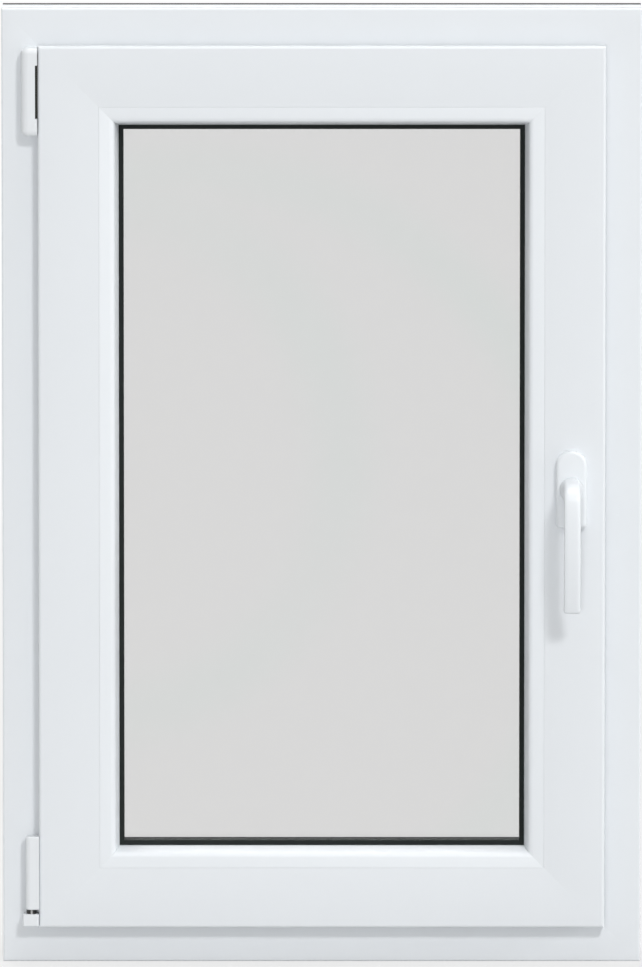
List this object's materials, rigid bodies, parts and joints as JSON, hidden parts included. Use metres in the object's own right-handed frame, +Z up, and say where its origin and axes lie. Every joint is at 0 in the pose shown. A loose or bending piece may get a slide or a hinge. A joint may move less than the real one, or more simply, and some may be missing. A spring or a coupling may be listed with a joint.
{
  "type": "casement window",
  "caption": "White plastic tilt-and-turn casement window with double glazing in mitred beads, a hinged sash in a fixed frame and a lever handle that turns.",
  "frame": {"origin": "centre of the underside of the frame's sill, halfway through the frame's depth", "axes": "+X to the right seen from the room, +Y from the room to the outside, +Z up"},
  "size_m": [0.6, 0.151, 0.9],
  "materials": {
    "white_pvc": "smooth satin white PVC",
    "white_moulding": "moulded white plastic",
    "white_lacquer": "white lacquer on cast metal",
    "zinc_steel": "zinc plated",
    "clear_glass": "clear float glass",
    "black_spacer": "matt black",
    "black_gasket": "matt black",
    "grey_seal": "matt grey",
    "dark_tape": "dark foam tape",
    "dark_bush": "moulded dark plastic"
  },
  "bodies": {
    "window": {"frame_head": "white_pvc", "frame_sill": "white_pvc", "frame_jamb_left": "white_pvc", "frame_jamb_right": "white_pvc", "sash_top_rail": "white_pvc", "sash_bottom_rail": "white_pvc", "sash_hinge_stile": "white_pvc", "sash_lock_stile": "white_pvc", "glazing_bead_bottom": "white_pvc", "glazing_bead_right": "white_pvc", "glazing_bead_top": "white_pvc", "glazing_bead_left": "white_pvc", "top_hinge_cap": "white_moulding", "bottom_hinge_sleeve": "white_moulding", "bottom_hinge_block": "white_moulding", "drain_cap_left": "white_moulding", "drain_cap_right": "white_moulding", "handle_rosette": "white_lacquer", "top_hinge_bearing": "zinc_steel", "top_hinge_pin": "zinc_steel", "top_hinge_arm": "zinc_steel", "bottom_hinge_pin": "zinc_steel", "inner_glass_pane": "clear_glass", "outer_glass_pane": "clear_glass", "glass_spacer": "black_spacer", "inner_glazing_gasket": "black_gasket", "outer_glazing_gasket": "black_gasket", "sash_seal": "grey_seal", "frame_seal": "grey_seal", "perimeter_seal": "dark_tape", "bottom_hinge_bush": "dark_bush"},
    "handle": {"handle_lever": "white_lacquer", "handle_spindle": "zinc_steel"}
  },
  "joints": [
    {"name": "handle_turn", "type": "hinge", "parent": "window", "child": "handle", "pos_m": [0.234, -0.053, 0.45], "axis": [0, 1, 0], "range_deg": [0, 180]}
  ]
}
